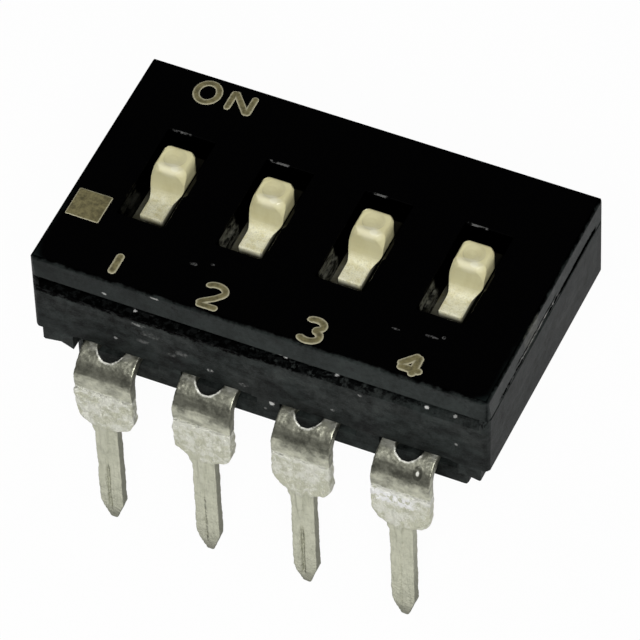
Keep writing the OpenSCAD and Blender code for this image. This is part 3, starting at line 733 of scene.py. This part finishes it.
SWELL_HEIGHT = 0.8                   # how far up the bend it is rounded out


def dent(at, rise, normal, number):
    """How far a point of a terminal moves along its normal, as a share of the dents' depth."""
    place = at + Vector((7.3 * number, 3.1 * number, 0))
    on_plate = ramp(rise, 0, -0.06) * ramp(at.z, SEAT_Z, SEAT_Z + 0.1)
    calm = 1 - 0.5 * ramp(rise, 0, 0.15) * normal.yz.length
    coarse = noise.fractal(place * 1.7, 0.7, 2.0, 2) * 0.5
    medium = noise.noise(place * 5) * (0.5 + 1.3 * on_plate)
    return (coarse + medium + noise.noise(place * 14) * 0.35) * calm


def stamped(node_name, settings, material):
    """A terminal with softened, dented edges in place of its CAD node."""
    low, high = node_box_mm(node_name)
    number = int(node_name.split("_")[-1])
    in_front = low.y + high.y < 0
    blank = mesh_from(welded_copy(node_name), "blank")
    voxel = settings.voxel if in_front else settings.back_voxel
    piece = remeshed(blank, voxel, settings.edge, "stamped_" + node_name)
    normals = [vertex.normal.copy() for vertex in piece.data.vertices]
    for vertex, normal in zip(piece.data.vertices, normals):
        at = vertex.co.copy()
        rise = at.z - STEP_Z
        place = at + normal * dent(at, rise, normal, number) * settings.dents
        if in_front and 0 < rise < SWELL_HEIGHT and normal.y < -0.3:
            # The bend swells out low down and runs smoothly into its upper part
            up = rise / SWELL_HEIGHT
            place.y -= rise * rise / (2 * BEND_HEIGHT) * (1 - up * up * (3 - 2 * up))
        if in_front and at.z < SEAT_Z + 0.7:
            place.y -= tail_relief(at, number, low.y + 0.06, (low.x + high.x) / 2)
        vertex.co = [min(max(p, a - 0.02), b + 0.02) * MM for p, a, b in zip(place, low, high)]
    piece.data.shade_smooth()
    piece.data.materials.append(material)
    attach(piece, "housing")
    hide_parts(node_name)
    paint(node_name, material)
    return piece


# ---- Printed marks ----


def arc_points(middle_x, middle_y, radius_x, radius_y, start, end, count):
    """Points on an oval arc between two angles in degrees."""
    turns = [math.radians(start + (end - start) * i / count) for i in range(count + 1)]
    return [(middle_x + radius_x * math.cos(a), middle_y + radius_y * math.sin(a)) for a in turns]


# Middle lines of each sign's strokes, in millimetres about its middle: (points, closed)
SIGNS = {
    "O": [(arc_points(0, 0, 0.275, 0.305, 0, 360, 48)[:-1], True)],
    "N": [([(-0.265, -0.315), (-0.265, 0.315)], False), ([(-0.265, 0.305), (0.265, -0.305)], False),
          ([(0.265, -0.315), (0.265, 0.315)], False)],
    "1": [([(0, -0.33), (0, 0.33)], False)],
    "2": [(arc_points(0, 0.165, 0.25, 0.17, 165, -30, 24) + [(0.09, -0.05), (-0.14, -0.21), (-0.27, -0.33)],
           False), ([(-0.27, -0.33), (0.28, -0.33)], False)],
    "3": [(arc_points(0, 0.17, 0.22, 0.15, 158, -90, 26), False),
          (arc_points(0, -0.16, 0.25, 0.17, 90, -160, 26), False)],
    "4": [([(0.10, 0.33), (-0.31, -0.10)], False), ([(-0.31, -0.13), (0.32, -0.13)], False),
          ([(0.10, 0.33), (0.10, -0.33)], False)],
}
# The word: each sign and its place from the first switch
WORD = (("O", -0.30, 2.86), ("N", 0.575, 2.845))
WORD_WEIGHT = 0.95
# The numerals: place from the switch's own middle, and weight of the strokes
NUMERALS = {1: (0.0, -2.85, 1.15), 2: (-0.07, -2.88, 1.0), 3: (-0.07, -2.93, 1.1), 4: (-0.08, -3.0, 1.2)}
# Middle of the square from the first switch
MARK_PLACE = (-1.36, -1.46)


def stroke_tree():
    """Geometry nodes that turn flat curves into low, round ended ink strokes."""
    tree = bpy.data.node_groups.new("ink_strokes", "GeometryNodeTree")
    for name, kind in (("Curves", "NodeSocketGeometry"), ("Stroke width", "NodeSocketFloat"),
                       ("Ink height", "NodeSocketFloat"), ("Lift", "NodeSocketFloat"),
                       ("Unit", "NodeSocketFloat"), ("Ink", "NodeSocketMaterial")):
        tree.interface.new_socket(name=name, in_out="INPUT", socket_type=kind)
    tree.interface.new_socket(name="Strokes", in_out="OUTPUT", socket_type="NodeSocketGeometry")
    g = Graph(tree)
    given = g.node("NodeGroupInput")
    radius = given["Stroke width"] * 0.5

    def shaped(kind, **sockets):
        return g.node(kind, None, sockets)["Geometry"]

    # Strokes swell from nothing at an open end, as a round pen's do
    dense = g.node("GeometryNodeResampleCurve", {"mode": "COUNT"},
                   {"Curve": given["Curves"], "Count": 96})["Curve"]
    along = g.node("GeometryNodeSplineParameter")["Length"]
    whole = g.node("GeometryNodeSplineLength")["Length"]
    closed = g.node("GeometryNodeInputSplineCyclic")["Cyclic"]
    near_end = along.lower(whole - along).higher(0) / radius
    round_end = (1 - (1 - near_end.lower(1)) ** 2).higher(0.0004) ** 0.5
    swell = closed + (1 - closed) * round_end
    sized = g.node("GeometryNodeSetCurveRadius", None, {"Curve": dense, "Radius": swell})["Curve"]
    ring = g.node("GeometryNodeCurvePrimitiveCircle", None,
                  {"Resolution": 16, "Radius": radius})["Curve"]
    tube = g.node("GeometryNodeCurveToMesh", None, {"Curve": sized, "Profile Curve": ring,
                                                    "Scale": swell, "Fill Caps": True})["Mesh"]

    # The tubes are pressed flat, then lifted onto the cover
    flat = g.node("ShaderNodeCombineXYZ", None, {0: 1.0, 1: 1.0, 2: given["Ink height"] / radius})[0]
    low = shaped("GeometryNodeTransform", Geometry=tube, Scale=flat)
    unit = g.node("ShaderNodeCombineXYZ", None, dict.fromkeys(range(3), given["Unit"]))[0]
    lift = g.node("ShaderNodeCombineXYZ", None, {2: given["Lift"] * given["Unit"]})[0]
    placed = shaped("GeometryNodeTransform", Geometry=low, Translation=lift, Scale=unit)
    real = shaped("GeometryNodeRealizeInstances", Geometry=placed)
    coated = shaped("GeometryNodeSetMaterial", Geometry=real, Material=given["Ink"])
    g.node("NodeGroupOutput", None, {0: coated})
    return tree


def set_input(modifier, name, value):
    """Sets a geometry nodes input by its socket's identifier."""
    for item in modifier.node_group.interface.items_tree:
        if item.item_type == "SOCKET" and item.in_out == "INPUT" and item.name == name:
            modifier[item.identifier] = value
            return
    raise RuntimeError(f"the stroke tree has no input {name}")


def sign_curves(signs):
    """A curve object with the strokes of each (sign, x, y) in millimetres."""
    data = bpy.data.curves.new("sign_strokes", "CURVE")
    data.dimensions = "3D"
    for sign, x, y in signs:
        for points, closed in SIGNS[sign]:
            spline = data.splines.new("POLY")
            spline.points.add(len(points) - 1)
            for point, (px, py) in zip(spline.points, points):
                point.co = (x + px, y + py, 0, 1)
            spline.use_cyclic_u = closed
    return new_object("sign_strokes", data)


def inked(name, signs, weight, settings, tree, material):
    """Printed strokes on the cover as one plain mesh; weight scales the stroke width."""
    draft = sign_curves(signs)
    modifier = draft.modifiers.new("strokes", "NODES")
    modifier.node_group = tree
    for key, value in (("Stroke width", settings.stroke_width * weight),
                       ("Ink height", settings.ink_height), ("Lift", TOP_Z), ("Unit", MM),
                       ("Ink", material)):
        set_input(modifier, key, value)
    piece = frozen(draft, name, material)
    piece.data.shade_smooth()
    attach(piece, "housing")
    return piece


def square_mark(name, middle, side, height, material):
    """A square of ink with round corners and a narrow sloping edge."""
    half, slope, corner = side / 2, 0.035, 0.04
    shape = bmesh.new()
    rings = []
    for inset, z in ((0, -0.2), (0, 0.05), (slope * 0.4, 0.6), (slope, 1.0)):
        ring = []
        for sx, sy, turn in ((1, 1, 0), (-1, 1, 90), (-1, -1, 180), (1, -1, 270)):
            for i in range(4):
                a = math.radians(turn + 30 * i)
                x = middle[0] + sx * (half - corner) + (corner - inset) * math.cos(a)
                y = middle[1] + sy * (half - corner) + (corner - inset) * math.sin(a)
                ring.append(shape.verts.new((x, y, TOP_Z + z * height)))
        rings.append(ring)
    for low, high in zip(rings, rings[1:]):
        for i in range(len(low)):
            j = (i + 1) % len(low)
            shape.faces.new((low[i], low[j], high[j], high[i]))
    shape.faces.new(rings[-1])
    shape.faces.new(rings[0][::-1])
    bmesh.ops.scale(shape, vec=(MM,) * 3, verts=shape.verts)
    piece = new_object(name, mesh_from(shape, name), material)
    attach(piece, "housing")
    return piece


# ---- Operators ----


class SWITCH_OT_housing(bpy.types.Operator):
    """Finish the moulded base and the polished cover"""
    bl_idname = "switch.housing"
    bl_label = "Finish housing"

    def execute(self, context):
        settings = context.scene.switch_housing
        paint("cover", cover_finish(settings))
        paint("base", base_finish(settings))
        return {"FINISHED"}


class SWITCH_OT_marks(bpy.types.Operator):
    """Print the word, the numerals and the square on the cover"""
    bl_idname = "switch.marks"
    bl_label = "Print marks"

    def execute(self, context):
        settings = context.scene.switch_ink
        ink = ink_finish(settings)
        tree = stroke_tree()
        word = [(sign, FIRST_X + x, y) for sign, x, y in WORD]
        inked("word_on", word, WORD_WEIGHT, settings, tree, ink)
        for number in NUMBERS:
            x, y, weight = NUMERALS[number]
            numeral = [(str(number), switch_x(number) + x, y)]
            inked(f"numeral_{number}", numeral, weight, settings, tree, ink)
        middle = (FIRST_X + MARK_PLACE[0], MARK_PLACE[1])
        square_mark("first_switch_mark", middle, settings.square_side, settings.ink_height, ink)
        return {"FINISHED"}


class SWITCH_OT_sliders(bpy.types.Operator):
    """Mould the ivory sliders with soft edges"""
    bl_idname = "switch.sliders"
    bl_label = "Mould sliders"

    def execute(self, context):
        settings = context.scene.switch_knob
        ivory = knob_finish(settings)
        for number in NUMBERS:
            name = f"slider_{number}"
            # The knob is meshed anew; the deck keeps its CAD faces
            knob = welded_copy(name)
            split_at(knob, PARTING_Z - 0.02, True)
            head = remeshed(mesh_from(knob, "knob"), settings.voxel, settings.softness, "knob_head")
            rest = welded_copy(name)
            split_at(rest, PARTING_Z - 0.031, False)
            joined = bmesh.new()
            joined.from_mesh(head.data)
            for face in joined.faces:
                face.smooth = True
            joined.from_mesh(mesh_from(rest, "deck"))
            bmesh.ops.scale(joined, vec=(MM,) * 3, verts=joined.verts)
            bpy.data.objects.remove(head)
            piece = new_object(f"moulded_slider_{number}", mesh_from(joined, "moulded_slider"), ivory)
            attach(piece, f"actuator_{number}")
            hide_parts(name)
            paint(name, ivory)
        return {"FINISHED"}


class SWITCH_OT_terminals(bpy.types.Operator):
    """Stamp and plate the terminals and finish the contact balls and springs"""
    bl_idname = "switch.terminals"
    bl_label = "Plate terminals"

    def execute(self, context):
        settings = context.scene.switch_terminal
        tin = tin_finish(settings)
        ball = bright_metal("contact_ball", settings.brass_colour, 0.5)
        wire = bright_metal("spring_steel", settings.steel_colour, 0.8)
        for number in NUMBERS:
            stamped(f"terminal_front_{number}", settings, tin)
            stamped(f"terminal_back_{number}", settings, tin)
            paint(f"ball_{number}", ball)
            paint(f"spring_{number}", wire)
        return {"FINISHED"}


# Soft lamps: name, direction from their target, distance and size in metres, power setting
LAMPS = (("key_lamp", (0.29, -0.62, 0.73), 0.34, 0.12, "key_power"),
         ("front_card", (-0.29, -0.70, 0.50), 0.45, 0.50, "card_power"),
         ("high_card", (-0.29, 0.08, 0.95), 0.45, 0.22, "high_power"),
         ("left_fill", (-0.95, 0.10, 0.22), 0.36, 0.20, "fill_power"),
         ("back_fill", (0.30, 0.92, 0.20), 0.36, 0.20, "fill_power"),
         ("rim_lamp", (-0.50, 0.80, 0.32), 0.36, 0.05, "rim_power"))
LAMP_TARGET = (0, 0, 6 * MM)


class SWITCH_OT_stage(bpy.types.Operator):
    """Set up the table, the soft lamps and the camera"""
    bl_idname = "switch.stage"
    bl_label = "Set up stage"

    def execute(self, context):
        settings = context.scene.switch_stage
        self.floor(settings)
        self.world(context, settings)
        for name, direction, distance, size, key in LAMPS:
            self.lamp(context, name, direction, distance, size, getattr(settings, key))
        self.camera(context, settings)
        context.scene.view_settings.view_transform = "Standard"
        return {"FINISHED"}

    def floor(self, settings):
        shape = bmesh.new()
        bmesh.ops.create_grid(shape, x_segments=1, y_segments=1, size=1.5)
        floor = new_object("table", mesh_from(shape, "table"))
        material = bpy.data.materials.new("table")
        material.use_nodes = True
        g = Graph(material.node_tree)
        material.node_tree.nodes.clear()
        path = g.node("ShaderNodeLightPath")
        place = g.node("ShaderNodeSeparateXYZ", None, {0: g.node("ShaderNodeTexCoord")["Object"]})
        x, y = (place[0] / MM).abs(), (place[1] / MM).abs()

        # Painted light: the plastic and the tin mirror a glowing table, brightest round the switch, with
        # painted shade under it
        near = ((x ** 2 + y ** 2) ** 0.5).over(26, 11)
        under = (x - CAD_BOX[1].x / MM).higher(y - CAD_BOX[1].y / MM).over(0.9, -0.3)
        mirrored_glow = (0.08 + near * 0.90) * (1 - under * 0.75)
        glow = g.node("ShaderNodeMix", {"data_type": "RGBA"},
                      {0: path["Is Camera Ray"].higher(mirrored_glow), 6: (0, 0, 0), 7: (1, 1, 1)})[2]
        lit = g.node("ShaderNodeBsdfDiffuse", None, {"Color": settings.floor_colour})["BSDF"]
        white = g.node("ShaderNodeEmission", None, {"Color": glow, "Strength": 1.0})["Emission"]
        seen = path["Is Camera Ray"] * 0.97
        mirrored = path["Is Glossy Ray"].higher(path["Is Transmission Ray"]) * 0.95
        shown = g.node("ShaderNodeMixShader", None, {0: seen.higher(mirrored), 1: lit, 2: white})[0]
        g.node("ShaderNodeOutputMaterial", None, {"Surface": shown})
        floor.data.materials.append(material)

    def world(self, context, settings):
        world = bpy.data.worlds.new("room")
        context.scene.world = world
        world.use_nodes = True
        world.node_tree.nodes.clear()
        g = Graph(world.node_tree)
        seen = g.node("ShaderNodeLightPath")["Is Camera Ray"]
        room = g.node("ShaderNodeBackground", None, {"Color": (1, 1, 1), "Strength": settings.room})[0]
        white = g.node("ShaderNodeBackground", None, {"Color": (1, 1, 1), "Strength": 1.0})[0]
        shown = g.node("ShaderNodeMixShader", None, {0: seen, 1: room, 2: white})[0]
        g.node("ShaderNodeOutputWorld", None, {"Surface": shown})

    def lamp(self, context, name, direction, distance, size, energy):
        light = bpy.data.lights.new(name, "AREA")
        light.shape = "DISK"
        light.size = size
        light.energy = energy
        lamp = bpy.data.objects.new(name, light)
        context.scene.collection.objects.link(lamp)
        away = Vector(direction).normalized()
        lamp.location = Vector(LAMP_TARGET) + away * distance
        lamp.rotation_euler = away.to_track_quat("Z", "Y").to_euler()

    def camera(self, context, settings):
        data = bpy.data.cameras.new("camera")
        data.sensor_width = 36
        data.lens = settings.lens
        data.clip_start = 0.01
        data.clip_end = 10
        camera = bpy.data.objects.new("camera", data)
        context.scene.collection.objects.link(camera)
        turn, rise = settings.azimuth, settings.elevation
        level = math.cos(rise)
        away = Vector((math.sin(turn) * level, -math.cos(turn) * level, math.sin(rise)))
        aim = (Vector((0, 0, TOP_Z)) + Vector(settings.aim)) * MM
        facing = away.to_track_quat("Z", "Y").to_matrix() @ Matrix.Rotation(settings.roll, 3, "Z")
        camera.matrix_world = Matrix.Translation(aim + away * settings.distance * MM) @ facing.to_4x4()
        context.scene.camera = camera


class SWITCH_PT_panel(bpy.types.Panel):
    """Lists the steps that finish the switch"""
    bl_label = "Slide switch"
    bl_idname = "SWITCH_PT_panel"
    bl_space_type = "VIEW_3D"
    bl_region_type = "UI"
    bl_category = "Switch"

    def draw(self, context):
        for settings, group, operator in STEPS:
            box = self.layout.box()
            for name in group.__annotations__:
                box.prop(getattr(context.scene, settings), name)
            box.operator(operator)


# Each step's settings, their group and its operator
STEPS = (("switch_housing", HousingFinish, "switch.housing"), ("switch_ink", InkFinish, "switch.marks"),
         ("switch_knob", KnobFinish, "switch.sliders"),
         ("switch_terminal", TerminalFinish, "switch.terminals"),
         ("switch_stage", StageSetting, "switch.stage"))
CLASSES = (SWITCH_OT_housing, SWITCH_OT_marks, SWITCH_OT_sliders, SWITCH_OT_terminals,
           SWITCH_OT_stage, SWITCH_PT_panel)


def register():
    for settings, group, _ in STEPS:
        bpy.utils.register_class(group)
        setattr(bpy.types.Scene, settings, bpy.props.PointerProperty(type=group))
    for made in CLASSES:
        bpy.utils.register_class(made)


def unregister():
    for made in reversed(CLASSES):
        bpy.utils.unregister_class(made)
    for settings, group, _ in STEPS:
        delattr(bpy.types.Scene, settings)
        bpy.utils.unregister_class(group)


def main():
    register()
    for _, _, operator in STEPS:
        area, action = operator.split(".")
        getattr(getattr(bpy.ops, area), action)()


if __name__ == "__main__":
    main()
